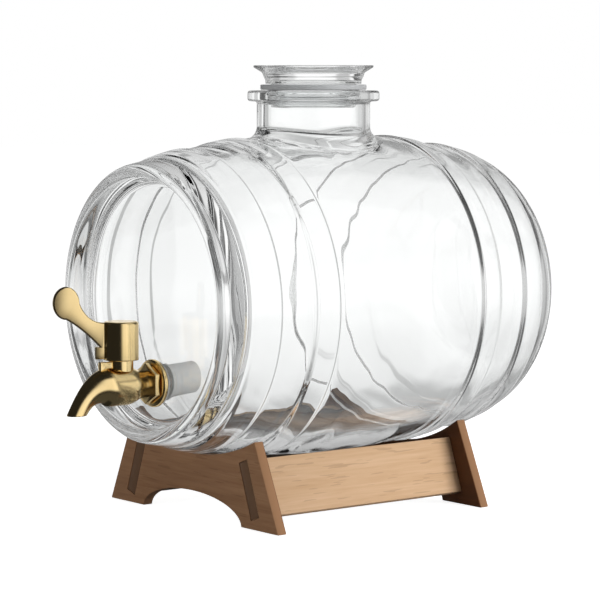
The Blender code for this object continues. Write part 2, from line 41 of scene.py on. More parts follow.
# small tools


# wraps a socket so that shader maths reads as Python
class Link:
    def __init__(self, nodes, socket):
        self.nodes = nodes
        self.socket = socket

    def maths(self, operation, *others):
        values = dict(enumerate((self, *others)))
        return self.nodes.add("ShaderNodeMath", {"operation": operation}, values)

    def __add__(self, other):
        return self.maths("ADD", other)

    def __radd__(self, other):
        return self.maths("ADD", other)

    def __sub__(self, other):
        return self.maths("SUBTRACT", other)

    def __mul__(self, other):
        return self.maths("MULTIPLY", other)

    def out(self, name):
        return Link(self.nodes, self.socket.node.outputs[name])


class NodeSet:
    def __init__(self, tree):
        self.tree = tree
        tree.nodes.clear()

    def add(self, kind, settings=None, inputs=None, output=0):
        node = self.tree.nodes.new(kind)
        for name, value in (settings or {}).items():
            if name == "stops":
                ramp = node.color_ramp
                while len(ramp.elements) > 1:
                    ramp.elements.remove(ramp.elements[-1])
                for i, (place, grey) in enumerate(value):
                    stop = ramp.elements[0] if i == 0 else ramp.elements.new(place)
                    stop.position = place
                    stop.color = (grey, grey, grey, 1)
            else:
                setattr(node, name, value)
        for name, value in (inputs or {}).items():
            if isinstance(value, Link):
                self.tree.links.new(value.socket, node.inputs[name])
            elif isinstance(value, tuple) and len(value) == 3 and node.inputs[name].type == "RGBA":
                node.inputs[name].default_value = (*value, 1)
            else:
                node.inputs[name].default_value = value
        return Link(self, node.outputs[output]) if node.outputs else None


def newMaterial(name):
    material = bpy.data.materials.new(name)
    material.use_nodes = True
    return material, NodeSet(material.node_tree)


def objectPlace(nodes):
    return nodes.add("ShaderNodeTexCoord", None, None, "Object")


def stretched(nodes, place, scale):
    return nodes.add("ShaderNodeMapping", None, {"Vector": place, "Scale": scale})


def noise(nodes, place, scale, detail=3.0, roughness=0.5, distortion=0.0):
    return nodes.add("ShaderNodeTexNoise", None, {"Vector": place, "Scale": scale, "Detail": detail,
                                                   "Roughness": roughness, "Distortion": distortion}, "Fac")


def mixColour(nodes, amount, first, second):
    node = nodes.tree.nodes.new("ShaderNodeMix")
    node.data_type = "RGBA"
    for index, value in ((0, amount), (6, first), (7, second)):
        if isinstance(value, Link):
            nodes.tree.links.new(value.socket, node.inputs[index])
        elif isinstance(value, tuple):
            node.inputs[index].default_value = (*value, 1)
        else:
            node.inputs[index].default_value = value
    return Link(nodes, node.outputs[2])


def cleaned(bm):
    bmesh.ops.remove_doubles(bm, verts=bm.verts, dist=1e-7)
    bmesh.ops.recalc_face_normals(bm, faces=bm.faces)
    return bm


def linked(name, data):
    item = bpy.data.objects.new(name, data)
    bpy.context.scene.collection.objects.link(item)
    return item


def meshFrom(bm, name):
    mesh = bpy.data.meshes.new(name)
    bm.to_mesh(mesh)
    bm.free()
    return mesh


def roundEdges(bm, edges, offset, segments):
    bmesh.ops.bevel(bm, geom=edges, offset=offset, segments=segments, profile=0.5, affect="EDGES",
                    material=-1)


# pushes a flat outline out by depth and rounds the edges that turn more than sharp degrees
def thickOutline(points, depth, sharp, offset, segments):
    bm = bmesh.new()
    face = bm.faces.new([bm.verts.new(point) for point in points])
    grown = bmesh.ops.extrude_face_region(bm, geom=[face])
    bmesh.ops.translate(bm, vec=depth, verts=[g for g in grown["geom"] if isinstance(g, bmesh.types.BMVert)])
    bmesh.ops.recalc_face_normals(bm, faces=bm.faces)
    roundEdges(bm, [e for e in bm.edges if e.calc_face_angle(0) > radians(sharp)], offset, segments)
    return bm


def finishMesh(bm, name, material, body, replaced, sharp=30):
    mesh = meshFrom(cleaned(bm), name)
    mesh.shade_smooth()
    mesh.set_sharp_from_angle(angle=radians(sharp))
    mesh.materials.append(material)
    piece = linked(name, mesh)
    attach(piece, body)
    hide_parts(replaced)
    return piece


# corners of (radius, height, cut): each cut is the length taken off both legs for the rounding
def softCorners(corners, steps=4):
    points = []
    for i, (r, h, cut) in enumerate(corners):
        here = Vector((r, h))
        if not cut or i in (0, len(corners) - 1):
            points.append((r, h))
            continue
        before = Vector(corners[i - 1][:2]) - here
        after = Vector(corners[i + 1][:2]) - here
        a = here + before.normalized() * min(cut, before.length * 0.49)
        b = here + after.normalized() * min(cut, after.length * 0.49)
        for k in range(steps + 1):
            t = k / steps
            p = (1 - t) ** 2 * a + 2 * t * (1 - t) * here + t ** 2 * b
            points.append((p.x, p.y))
    return points


# spins (radius, height) points about Z
def spun(points, sides, closed=False):
    bm = bmesh.new()
    verts = [bm.verts.new((r, 0, h)) for r, h in points]
    for a, b in zip(verts, verts[1:]):
        bm.edges.new((a, b))
    if closed:
        bm.edges.new((verts[-1], verts[0]))
    bmesh.ops.spin(bm, geom=verts + bm.edges[:], cent=(0, 0, 0), axis=(0, 0, 1), dvec=(0, 0, 0),
                   angle=2 * pi, steps=sides, use_merge=True, use_duplicate=False)
    return cleaned(bm)


def placed(bm, place, turn=None):
    if turn:
        bmesh.ops.rotate(bm, verts=bm.verts, cent=(0, 0, 0), matrix=turn)
    bmesh.ops.translate(bm, verts=bm.verts, vec=place)
    return bm


def scratchObject(bm, name):
    return linked(name, meshFrom(cleaned(bm), name))


# exact Booleans one after another on bmeshes; the result is a bmesh too
def booleans(start, steps):
    base = scratchObject(start, "work")
    extras = []
    for operation, bm in steps:
        other = scratchObject(bm, "workTool")
        extras.append(other)
        change = base.modifiers.new("change", "BOOLEAN")
        change.operation = operation
        change.solver = "EXACT"
        change.object = other
    bpy.context.view_layer.update()
    result = bmesh.new()
    result.from_object(base, bpy.context.evaluated_depsgraph_get())
    for item in [base, *extras]:
        mesh = item.data
        bpy.data.objects.remove(item)
        bpy.data.meshes.remove(mesh)
    return result


towardsFront = Matrix.Rotation(pi / 2, 3, "X")   # local +Z becomes -Y
towardsRear = Matrix.Rotation(-pi / 2, 3, "X")   # local +Z becomes +Y

# materials

glassLook = {"tint": (0.985, 0.992, 0.99), "ior": 1.50, "shadow": (0.52, 0.53, 0.53),
             "rippleStrength": 0.30, "rippleSize": 24.0, "rippleDepth": 0.0025}


def makeGlass(name, ripple=1.0):
    material, nodes = newMaterial(name)
    place = objectPlace(nodes)
    size = glassLook["rippleSize"]
    wide = noise(nodes, stretched(nodes, place, (1.0, 1.3, 0.8)), size, 0.0, 0.4, 0.5)
    fine = noise(nodes, stretched(nodes, place, (1.0, 1.5, 0.7)), size * 2.4, 0.0, 0.5, 0.3)
    bump = nodes.add("ShaderNodeBump", None,
                     {"Height": wide + fine * 0.22, "Strength": glassLook["rippleStrength"] * ripple,
                      "Distance": glassLook["rippleDepth"]})
    clear = nodes.add("ShaderNodeBsdfPrincipled", None,
                      {"Base Color": glassLook["tint"], "Roughness": 0.0, "IOR": glassLook["ior"],
                       "Transmission Weight": 1.0, "Normal": bump})
    passing = nodes.add("ShaderNodeBsdfTransparent", None, {"Color": glassLook["shadow"]})
    rays = nodes.add("ShaderNodeLightPath", None, None, "Is Shadow Ray")
    mixed = nodes.add("ShaderNodeMixShader", None, {0: rays, 1: clear, 2: passing})
    nodes.add("ShaderNodeOutputMaterial", None, {"Surface": mixed})
    return material


goldLook = {"colour": (0.95, 0.74, 0.39), "edge": (0.89, 0.66, 0.31), "roughness": 0.14}


def makeGold(name):
    material, nodes = newMaterial(name)
    place = objectPlace(nodes)
    patches = noise(nodes, place, 160.0, 3.0)
    grainy = noise(nodes, place, 2600.0, 2.0)
    colour = mixColour(nodes, patches, goldLook["colour"], goldLook["edge"])
    bump = nodes.add("ShaderNodeBump", None,
                     {"Height": patches + grainy * 0.1, "Strength": 0.05, "Distance": 0.0004})
    metal = nodes.add("ShaderNodeBsdfPrincipled", None,
                      {"Base Color": colour, "Roughness": goldLook["roughness"] + patches * 0.07,
                       "Metallic": 1.0, "Normal": bump})
    nodes.add("ShaderNodeOutputMaterial", None, {"Surface": metal})
    return material


# set before the woods, because their painted shade on the inner faces needs the stand's middle
stand = {"plateThickness": 0.0040, "plateSpacing": 0.0994, "bottomWidth": 0.1048, "topWidth": 0.0770,
         "height": 0.0316, "archWidth": 0.0610, "archHeight": 0.0095, "railThickness": 0.0050,
         "railTilt": radians(19.6), "railFloorGap": 0.0032, "railTopGap": 0.00685, "railInset": 0.0108,
         "middleY": 0.004575, "softEdge": 0.00035, "slotGap": 0.00012, "slotDepth": 0.002,
         "frontCradle": 0.0233, "rearCradle": 0.0203}
# inward is a dark painted shade for the faces towards the stand's middle, where the barrel shades them
plateLook = {"light": (0.307, 0.166, 0.086), "dark": (0.226, 0.115, 0.056), "endGrain": (0.285, 0.152, 0.078),
             "inward": (0.105, 0.036, 0.010), "alongX": True}
railLook = {"light": (0.62, 0.42, 0.265), "dark": (0.53, 0.34, 0.195), "endGrain": (0.135, 0.074, 0.040),
            "inward": (0.065, 0.045, 0.032), "alongX": False}


# fine straight grain along X or Y with short flecks; end grain is darker, and the faces towards the middle
# get a dark painted shade for the shadow inside the stand
def makeWood(name, light, dark, endGrain, inward, alongX):
    material, nodes = newMaterial(name)
    place = objectPlace(nodes)
    long = (40.0, 900.0, 900.0) if alongX else (900.0, 40.0, 900.0)
    lines = noise(nodes, stretched(nodes, place, long), 1.0, 4.0, 0.6, 0.3)
    broad = noise(nodes, stretched(nodes, place, tuple(v * 0.22 for v in long)), 1.0, 3.0, 0.5, 0.8)
    fleckPlace = stretched(nodes, place, tuple(v * (1.9 if v < 100 else 1.3) for v in long))
    flecks = noise(nodes, fleckPlace, 1.0, 1.0).maths("GREATER_THAN", 0.66)
    shade = nodes.add("ShaderNodeMapRange", {"clamp": True},
                      {"Value": lines * 0.6 + broad * 0.4, 1: 0.36, 2: 0.64})
    colour = mixColour(nodes, shade, dark, light)
    colour = mixColour(nodes, flecks * 0.35, colour, tuple(v * 0.55 for v in dark))
    along, across = (0, 1) if alongX else (1, 0)
    facing = nodes.add("ShaderNodeNewGeometry", None, None, "Normal")
    ends = nodes.add("ShaderNodeSeparateXYZ", None, {0: facing}, along).maths("ABSOLUTE")
    colour = mixColour(nodes, ends.maths("GREATER_THAN", 0.8), colour, endGrain)
    middle = stand["middleY"] if alongX else 0.0
    where = nodes.add("ShaderNodeSeparateXYZ", None, {0: place}, across) - middle
    leaning = nodes.add("ShaderNodeSeparateXYZ", None, {0: facing}, across)
    # faces leaning towards the stand's middle take the inward colour: painted shade for the shadow inside the
    # stand under the barrel
    paintedShadeMask = (where * leaning).maths("LESS_THAN", -0.01)
    colour = mixColour(nodes, paintedShadeMask, colour, mixColour(nodes, shade, tuple(v * 0.8 for v in inward), inward))
    bump = nodes.add("ShaderNodeBump", None,
                     {"Height": lines - flecks * 0.4, "Strength": 0.12, "Distance": 0.0003})
    wood = nodes.add("ShaderNodeBsdfPrincipled", None,
                     {"Base Color": colour, "Roughness": 0.52 + lines * 0.16, "Specular IOR Level": 0.3,
                      "Normal": bump})
    nodes.add("ShaderNodeOutputMaterial", None, {"Surface": wood})
    return material


# silicone and plastic: soft sheen with a faint mottle
def makeRubber(name, colour):
    material, nodes = newMaterial(name)
    place = objectPlace(nodes)
    mottle = noise(nodes, place, 420.0, 3.0)
    shade = mixColour(nodes, mottle, tuple(v * 0.94 for v in colour),
                      tuple(min(1.0, v * 1.06) for v in colour))
    bump = nodes.add("ShaderNodeBump", None, {"Height": mottle, "Strength": 0.08, "Distance": 0.0002})
    soft = nodes.add("ShaderNodeBsdfPrincipled", None,
                     {"Base Color": shade, "Roughness": 0.38 + mottle * 0.12, "IOR": 1.42, "Normal": bump})
    nodes.add("ShaderNodeOutputMaterial", None, {"Surface": soft})
    return material


sealLook = {"rimHeight": 0.15524, "flangeDark": (0.66, 0.67, 0.68), "flangeLight": (0.74, 0.75, 0.76),
            "sleeve": (0.93, 0.935, 0.94)}


# silicone seal: a milky flange above the rim and a nearly clear sleeve below it
def makeSeal(name):
    material, nodes = newMaterial(name)
    place = objectPlace(nodes)
    mottle = noise(nodes, place, 420.0, 3.0)
    shade = mixColour(nodes, mottle, sealLook["flangeDark"], sealLook["flangeLight"])
    milky = nodes.add("ShaderNodeBsdfPrincipled", None,
                      {"Base Color": shade, "Roughness": 0.30 + mottle * 0.10, "IOR": 1.42,
                       "Transmission Weight": 0.45})
    clear = nodes.add("ShaderNodeBsdfPrincipled", None,
                      {"Base Color": sealLook["sleeve"], "Roughness": 0.03 + mottle * 0.03, "IOR": 1.35,
                       "Transmission Weight": 1.0})
    height = nodes.add("ShaderNodeSeparateXYZ", None, {0: place}, 2)
    above = height.maths("GREATER_THAN", sealLook["rimHeight"] + 0.0002)
    mixed = nodes.add("ShaderNodeMixShader", None, {0: above, 1: clear, 2: milky})
    nodes.add("ShaderNodeOutputMaterial", None, {"Surface": mixed})
    return material


barrelGlass = makeGlass("barrelGlass")
lidGlass = makeGlass("lidGlass", 0.25)
goldPlate = makeGold("goldPlate")
plateWood = makeWood("plateWood", **plateLook)
railWood = makeWood("railWood", **railLook)
sealSilicone = makeSeal("sealSilicone")
washerSilicone = makeRubber("washerSilicone", (0.86, 0.86, 0.85))
nutPlastic = makeRubber("nutPlastic", (0.90, 0.90, 0.90))
print("materials made")

# stand


def railBoard(side, grow, endGrow):
    s = stand
    rise = s["height"] - s["railFloorGap"] - s["railTopGap"]
    board = (rise - s["railThickness"] * sin(s["railTilt"])) / cos(s["railTilt"])
    z = s["railFloorGap"] + rise / 2
    half = (s["bottomWidth"] + (s["topWidth"] - s["bottomWidth"]) * z / s["height"]) / 2
    bm = bmesh.new()
    bmesh.ops.create_cube(bm, size=1)
    size = (s["railThickness"] + 2 * grow, s["plateSpacing"] + 2 * endGrow, board + 2 * grow)
    bmesh.ops.scale(bm, verts=bm.verts, vec=size)
    if not grow:
        roundEdges(bm, bm.edges[:], s["softEdge"], 2)
    return placed(bm, (side * (half - s["railInset"]), s["middleY"], z),
                  Matrix.Rotation(-side * s["railTilt"], 3, "Y"))


def plateBoard(faceY, inward, lowest):
    s = stand
    half, top = s["bottomWidth"] / 2, s["topWidth"] / 2
    arch = [(s["archWidth"] / 2 * cos(pi - pi * i / 48), s["archHeight"] * sin(pi * i / 48))
            for i in range(49)]
    depth = s["height"] - lowest
    radius = (top ** 2 + depth ** 2) / (2 * depth)
    cradle = []
    for i in range(41):
        x = top * (1 - i / 20)
        cradle.append((x, lowest + radius - sqrt(radius ** 2 - x ** 2)))
    outline = [(x, faceY, z) for x, z in [(-half, 0), *arch, (half, 0), *cradle]]
    board = thickOutline(outline, (0, inward * s["plateThickness"], 0), 35, s["softEdge"], 2)
    slots = [("DIFFERENCE", railBoard(side, s["slotGap"], s["slotDepth"])) for side in (-1, 1)]
    return booleans(board, slots)


frontFace = stand["middleY"] - stand["plateSpacing"] / 2
rearFace = stand["middleY"] + stand["plateSpacing"] / 2
finishMesh(plateBoard(frontFace, 1, stand["frontCradle"]), "frontPlateBoard", plateWood, "stand",
           "stand_front_plate")
finishMesh(plateBoard(rearFace, -1, stand["rearCradle"]), "rearPlateBoard", plateWood, "stand",
           "stand_rear_plate")
for side, word in ((-1, "left"), (1, "right")):
    finishMesh(railBoard(side, 0, 0), f"{word}RailBoard", railWood, "stand", f"stand_{word}_rail")
print("stand made")

# glass barrel

barrel = {"axisZ": 0.07914, "middleY": 0.011975, "radius": 0.0600, "rimRadius": 0.0500, "front": 0.0795,
          "rear": 0.0860, "wall": 0.0045, "base": 0.0050, "disc": 0.0045, "recess": 0.0080,
          "recessRadius": 0.0437, "hoopHeight": 0.0008, "hoops": ((-0.0678, -0.0569), (-0.0438, -0.0335),
                                                                   (0.0335, 0.0438), (0.0569, 0.0678)),
          "sides": 224, "holeRadius": 0.0053, "holeDrop": 0.0289}
neck = {"radius": 0.02126, "bore": 0.01845, "rim": 0.0761, "beadRadius": 0.02475, "beadHeight": 0.0041,
        "flare": 0.0045, "innerFlare": 0.0038, "sides": 144}


def staveRadius(y):
    return barrel["radius"] - (barrel["radius"] - barrel["rimRadius"]) * (y / barrel["front"]) ** 2


def rearShoulder(start, end, inset, steps):
    slope = -2 * (barrel["radius"] - barrel["rimRadius"]) * start / barrel["front"] ** 2
    lean = -atan2(slope, 1)
    r = (end - start) / (1 - sin(lean))
    centre = (staveRadius(start) - inset - r * cos(lean), start - r * sin(lean))
    return [(centre[0] + r * cos(lean + (pi / 2 - lean) * i / steps),
             centre[1] + r * sin(lean + (pi / 2 - lean) * i / steps)) for i in range(steps + 1)]


def outerProfile():
    b = barrel
    floor = -b["front"] + b["recess"]
    corners = [(0, floor, 0), (b["recessRadius"], floor, 0.0016), (0.0460, -b["front"], 0.0018),
               (staveRadius(-0.0785) + 0.0001, -b["front"], 0.0022), (staveRadius(-0.0735), -0.0735, 0)]
    y = -0.0710
    for start, end in b["hoops"]:
        while y < start - 0.0015:
            corners.append((staveRadius(y), y, 0))
            y += 0.0027
        up = b["hoopHeight"]
        corners += [(staveRadius(start), start - 0.0002, 0.0007),
                    (staveRadius(start) + up, start + 0.0010, 0.0007),
                    (staveRadius((start + end) / 2) + up, (start + end) / 2, 0),
                    (staveRadius(end) + up, end - 0.0010, 0.0007),
                    (staveRadius(end), end + 0.0002, 0.0007)]
        y = end + 0.0020
    points = softCorners(corners)
    points += rearShoulder(b["hoops"][-1][1], b["rear"], 0, 18)[1:]
    last = points[-1][0]
    hollow = ((0.72, 0.0003), (0.5, 0.0009), (0.25, 0.0012), (0, 0.0012))
    return points + [(last * share, b["rear"] - depth) for share, depth in hollow]


def innerProfile():
    b = barrel
    front = -b["front"] + b["recess"] + b["disc"]
    start = b["hoops"][-1][1]
    corners = [(0, front, 0), (staveRadius(front) - b["wall"], front, 0.0042)]
    y = front + 0.0075
    while y < start - 0.002:
        corners.append((staveRadius(y) - b["wall"], y, 0))
        y += 0.004
    points = softCorners(corners, 8)
    points += rearShoulder(start, b["rear"] - b["base"], b["wall"], 16)
    return points + [(0, b["rear"] - b["base"])]


# round column whose foot spreads out along the bulged skin, inset below the outside
def neckForm(radius, flare, inset, low, topPart):
    bm = bmesh.new()
    columns = []
    turns = [radians(84) * i / 10 for i in range(11)]
    for i in range(neck["sides"]):
        a = 2 * pi * i / neck["sides"]
        column = [(radius, low)]
        foot = [(radius + flare, -0.0004)] + [(radius + flare * (1 - cos(t)), flare * (1 - sin(t)))
                                               for t in turns[::-1]]
        for r, rise in foot:
            skin = sqrt((staveRadius(r * sin(a)) - inset) ** 2 - (r * cos(a)) ** 2)
            column.append((r, skin + rise))
        columns.append([bm.verts.new((r * cos(a), r * sin(a), z)) for r, z in column + topPart])
    for i, a in enumerate(columns):
        b = columns[(i + 1) % len(columns)]
        for k in range(len(a) - 1):
            bm.faces.new((a[k], b[k], b[k + 1], a[k + 1]))
    bm.faces.new([c[0] for c in columns])
    bm.faces.new([c[-1] for c in columns])
    return bm


n = neck
beadLow = n["rim"] - n["beadHeight"]
beadCorners = [(n["radius"], beadLow - 0.004, 0), (n["radius"], beadLow, 0.0009),
               (n["beadRadius"], beadLow + 0.0002, 0.0011), (n["beadRadius"], n["rim"], 0.0012),
               (0.0200, n["rim"] + 0.0000001, 0)]
neckOuter = neckForm(n["radius"], n["flare"], 0, 0.0500, softCorners(beadCorners, 5))
neckInner = neckForm(n["bore"], n["innerFlare"], barrel["wall"], 0.0420,
                     [(n["bore"], 0.0700), (n["bore"], n["rim"] - 0.0008),
                      (n["bore"] + 0.0009, n["rim"] + 0.0001), (n["bore"] + 0.0009, n["rim"] + 0.003)])
outerBody = placed(spun(outerProfile(), barrel["sides"]), (0, 0, 0), towardsRear)
innerBody = placed(spun(innerProfile(), barrel["sides"]), (0, 0, 0), towardsRear)
innerVoid = booleans(innerBody, [("UNION", neckInner)])
holeCorners = [(0, -0.010), (barrel["holeRadius"], -0.010), (barrel["holeRadius"], 0.004), (0, 0.004)]
tapHole = placed(spun(holeCorners, 48), (0, -barrel["front"] + barrel["recess"], -barrel["holeDrop"]),
                 towardsFront)
glass = booleans(outerBody, [("UNION", neckOuter), ("DIFFERENCE", innerVoid), ("DIFFERENCE", tapHole)])
placed(glass, (0, barrel["middleY"], barrel["axisZ"]))
glassPiece = finishMesh(glass, "barrelGlassBody", barrelGlass, "barrel", "glass_barrel", 42)
print("barrel made:", len(glassPiece.data.polygons), "faces")

# lid and seal

lidPlace = (0, barrel["middleY"], barrel["axisZ"] + neck["rim"])
lid = {"plug": 0.0160, "depth": 0.0062, "wall": 0.0024, "waist": 0.0180, "foot": 0.0190, "flare": 0.0225,
       "shoulder": 0.0025, "waistTop": 0.0047, "footTop": 0.0067, "flareTop": 0.0094, "sides": 144}
l = lid
lidCorners = [(0, l["footTop"] + 0.0006, 0), (l["foot"] - 0.0008, l["footTop"] + 0.0006, 0.0008),
              (l["flare"] - 0.0006, l["flareTop"], 0.0003), (l["flare"], l["flareTop"], 0.0003),
              (l["flare"], l["flareTop"] - 0.0007, 0.0003),
              (l["foot"] + 0.0001, l["footTop"] - 0.0001, 0.0008),
              (l["foot"] - 0.0001, l["footTop"] - 0.0011, 0.0006),
              (l["waist"], l["waistTop"] - 0.0009, 0.0008),
              (l["waist"], l["shoulder"], 0.0003), (l["plug"], l["shoulder"], 0.0003),
              (l["plug"], -l["depth"], 0.0010), (l["plug"] - l["wall"], -l["depth"], 0.0010),
              (l["plug"] - l["wall"], l["footTop"] - 0.0019, 0.0014), (0, l["footTop"] - 0.0019, 0)]
finishMesh(placed(spun(softCorners(lidCorners), l["sides"]), lidPlace), "lidGlassPlug", lidGlass, "lid",
           "lid_glass", 42)
sealCorners = [(0.0163, 0.0022, 0), (0.0199, 0.0022, 0.0004), (0.0199, 0.0003, 0.0004),
               (0.0173, 0.0003, 0.0002), (0.0173, -0.0006, 0.0002), (0.01812, -0.0015, 0.0002),
               (0.0173, -0.0020, 0.0002), (0.0173, -0.0030, 0.0002), (0.01812, -0.0040, 0.0002),
               (0.0173, -0.0044, 0.0002), (0.0173, -0.0050, 0.0003), (0.0163, -0.0050, 0)]
finishMesh(placed(spun(softCorners(sealCorners, 3), l["sides"], True), lidPlace), "lidSealRing",
           sealSilicone, "lid", "lid_seal", 42)
print("lid made")

# tap

tapPlace = Vector((0, -0.075525, 0.05024))
discFace = Vector((0, -0.059525, 0.05024))
tap = {"tube": 0.0048, "bulb": 0.0070, "bulbBack": 0.0016, "bulbFront": 0.0069, "tubeFront": 0.0091,
       "reach": 0.0192, "drop": 0.0093, "tip": 0.00325, "pull": 0.60, "spoutBore": 0.0022, "chamber": 0.00435,
       "chamberTop": 0.0155, "hexBack": 0.0125, "hexFront": 0.0102, "hexCorner": 0.0076, "waterway": 0.0016,
       "shank": 0.0047, "chamberBore": 0.0032, "glandSeat": 0.0037, "smoothing": 14}


# round section along the tap's middle line: straight tube and bulb, then the bend of the spout
def tapLine(radiusOf, start, beyond):
    t = tap
    tubeSteps, bulbSteps, bendSteps = 22, 18, 40
    tube = [t["tubeFront"] + (t["bulbBack"] - t["tubeFront"]) * i / tubeSteps for i in range(tubeSteps + 1)]
    line = [start] + [y for y in tube if y < start]
    line += [t["bulbBack"] - (t["bulbBack"] + t["bulbFront"]) * i / bulbSteps
             for i in range(1, bulbSteps + 1)]
    points = [(Vector((0, y, 0)), radiusOf(0, y)) for y in line]
    pull = t["bulbFront"] + t["pull"] * (t["reach"] - t["bulbFront"])
    for i in range(1, bendSteps + 1):
        k = i / bendSteps
        forward = (1 - k) ** 2 * t["bulbFront"] + 2 * k * (1 - k) * pull + k ** 2 * t["reach"]
        points.append((Vector((0, -forward, -t["drop"] * k ** 2)), radiusOf(k, -forward)))
    sizes = [radius for place, radius in points]
    for again in range(t["smoothing"]):
        inner = [(a + 2 * b + c) / 4 for a, b, c in zip(sizes, sizes[1:], sizes[2:])]
        sizes = [sizes[0], *inner, sizes[-1]]
    points = [(place, size) for (place, radius), size in zip(points, sizes)]
    onward = (points[-1][0] - points[-2][0]).normalized()
    points.append((points[-1][0] + onward * beyond, points[-1][1]))
    curve = bpy.data.curves.new("tapLine", "CURVE")
    curve.dimensions = "3D"
    curve.bevel_depth = 1.0
    curve.bevel_resolution = 22
    curve.use_fill_caps = True
    spline = curve.splines.new("POLY")
    spline.points.add(len(points) - 1)
    for point, (place, radius) in zip(spline.points, points):
        point.co = (*place, 1)
        point.radius = radius
    item = linked("tapLine", curve)
    bpy.context.view_layer.update()
    bm = bmesh.new()
    mesh = bpy.data.meshes.new_from_object(item.evaluated_get(bpy.context.evaluated_depsgraph_get()))
    bm.from_mesh(mesh)
    bpy.data.objects.remove(item)
    bpy.data.meshes.remove(mesh)
    return cleaned(bm)


def castRadius(k, y):
    t = tap
    if k > 0:
        return t["tip"] + (t["bulb"] - t["tip"]) * max(0, 1 - sin(pi / 2 * k)) ** 1.15
    if y <= t["bulbBack"]:
        return t["bulb"]
    part = min(1, (y - t["bulbBack"]) / (t["tubeFront"] - t["bulbBack"]))
    return t["tube"] + (t["bulb"] - t["tube"]) * (1 + cos(pi * part)) / 2


def roundRod(radius, low, high, soft=0.0003, sides=72, inner=0.0):
    if inner:
        corners = [(inner, low, 0), (radius, low, soft), (radius, high, soft), (inner, high, 0)]
        return spun(softCorners(corners, 3), sides, True)
    return spun(softCorners([(0, low, 0), (radius, low, soft), (radius, high, soft), (0, high, 0)], 3), sides)


def softBlock(low, high, soft):
    bm = bmesh.new()
    bmesh.ops.create_cube(bm, size=1)
    bmesh.ops.scale(bm, verts=bm.verts, vec=Vector(high) - Vector(low))
    bmesh.ops.translate(bm, verts=bm.verts, vec=(Vector(high) + Vector(low)) / 2)
    roundEdges(bm, bm.edges[:], soft, 3)
    return bm


t = tap
hexagon = bmesh.new()
bmesh.ops.create_cone(hexagon, cap_ends=True, segments=6, radius1=t["hexCorner"], radius2=t["hexCorner"],
                      depth=t["hexBack"] - t["hexFront"])
bmesh.ops.rotate(hexagon, verts=hexagon.verts, cent=(0, 0, 0), matrix=towardsFront)
if max(abs(v.co.z) for v in hexagon.verts) < t["hexCorner"] * 0.99:
    bmesh.ops.rotate(hexagon, verts=hexagon.verts, cent=(0, 0, 0), matrix=Matrix.Rotation(pi / 6, 3, "Y"))
bmesh.ops.translate(hexagon, verts=hexagon.verts, vec=(0, (t["hexBack"] + t["hexFront"]) / 2, 0))
roundEdges(hexagon, hexagon.edges[:], 0.00035, 3)
shank = placed(roundRod(t["shank"], -0.0348, -0.0110, 0.0004), (0, 0, 0), towardsFront)
chamber = roundRod(t["chamber"], 0.0, t["chamberTop"], 0.0004)
fin = softBlock((-0.0009, -0.0094, 0.0), (0.0009, -0.0022, 0.0091), 0.0003)
chamberBore = roundRod(t["chamberBore"], -0.0050, 0.0180, 0.0001, 48)
glandSeat = roundRod(t["glandSeat"], 0.0124, 0.0180, 0.0001, 48)
inlet = placed(roundRod(t["waterway"], -0.0400, 0.0, 0.0001, 48), (0, 0, 0), towardsFront)
outlet = tapLine(lambda k, y: t["spoutBore"] + 0.0005 * max(0, k * 5 - 4), 0.0, 0.006)
casting = tapLine(castRadius, 0.0119, 0.006)
cut = bmesh.ops.bisect_plane(casting, geom=casting.verts[:] + casting.edges[:] + casting.faces[:],
                             plane_co=(0, 0, -t["drop"]), plane_no=(0, 0, -1), clear_outer=True)
mouth = [e for e in cut["geom_cut"] if isinstance(e, bmesh.types.BMEdge)]
bmesh.ops.holes_fill(casting, edges=mouth)
roundEdges(casting, mouth, 0.0004, 3)
tapBody = booleans(casting, [("UNION", hexagon), ("UNION", shank), ("UNION", chamber), ("UNION", fin),
                             ("DIFFERENCE", chamberBore), ("DIFFERENCE", glandSeat), ("DIFFERENCE", inlet),
                             ("DIFFERENCE", outlet)])
tapPiece = finishMesh(placed(tapBody, tapPlace), "tapBodyCasting", goldPlate, "barrel", "tap_body",
                      28)
print("tap body made:", len(tapPiece.data.polygons), "faces")

# rings around the shank, from the cover disc back to the nut
coverCorners = [(0.0050, 0.0014, 0), (0.0087, 0.0014, 0.0006), (0.0087, 0.0032, 0.0008),
                (0.0070, 0.0032, 0.0002), (0.0050, 0.0032, 0)]
nutCorners = [(0.0050, -0.0191, 0), (0.00605, -0.0191, 0.0006), (0.00605, -0.0063, 0.0006),
              (0.0050, -0.0063, 0)]
coverRing = spun(softCorners(coverCorners, 4), 96, True)
nutRing = spun(softCorners(nutCorners, 4), 72, True)
outerWasher = roundRod(0.0080, 0.0003, 0.0011, 0.0002, 72, 0.0050)
innerWasher = roundRod(0.0067, -0.0060, -0.0048, 0.0002, 72, 0.0050)
for ring, name, material, nodeName, slot in (
        (coverRing, "tapCoverDisc", goldPlate, "tap_cover_disc", "gold_plate"),
        (nutRing, "tapBackingNut", nutPlastic, "tap_backing_nut", "nut_plastic"),
        (outerWasher, "tapOuterWasher", washerSilicone, "tap_outer_washer", "washer_silicone"),
        (innerWasher, "tapInnerWasher", washerSilicone, "tap_inner_washer", "washer_silicone")):
    finishMesh(placed(ring, discFace, towardsFront), name, material, "barrel", nodeName, 35)

# lever: skirt, arm and paddle

lever = {"skirt": 0.0063, "skirtLow": 0.0094, "skirtTop": 0.0233, "arm": 0.0024, "paddleForward": 0.0196,
         "paddleRise": 0.0300, "paddleLong": 0.0048, "paddleHigh": 0.0059, "restTurn": radians(-27)}
v = lever
skirtCorners = [(0, 0.0164, 0), (0.0036, 0.0164, 0.0002), (0.0036, 0.0214, 0.0002), (0.0053, 0.0214, 0.0002),
                (0.0053, v["skirtLow"], 0.0002), (v["skirt"], v["skirtLow"], 0.0004),
                (v["skirt"], v["skirtTop"], 0.0012), (0, v["skirtTop"], 0)]


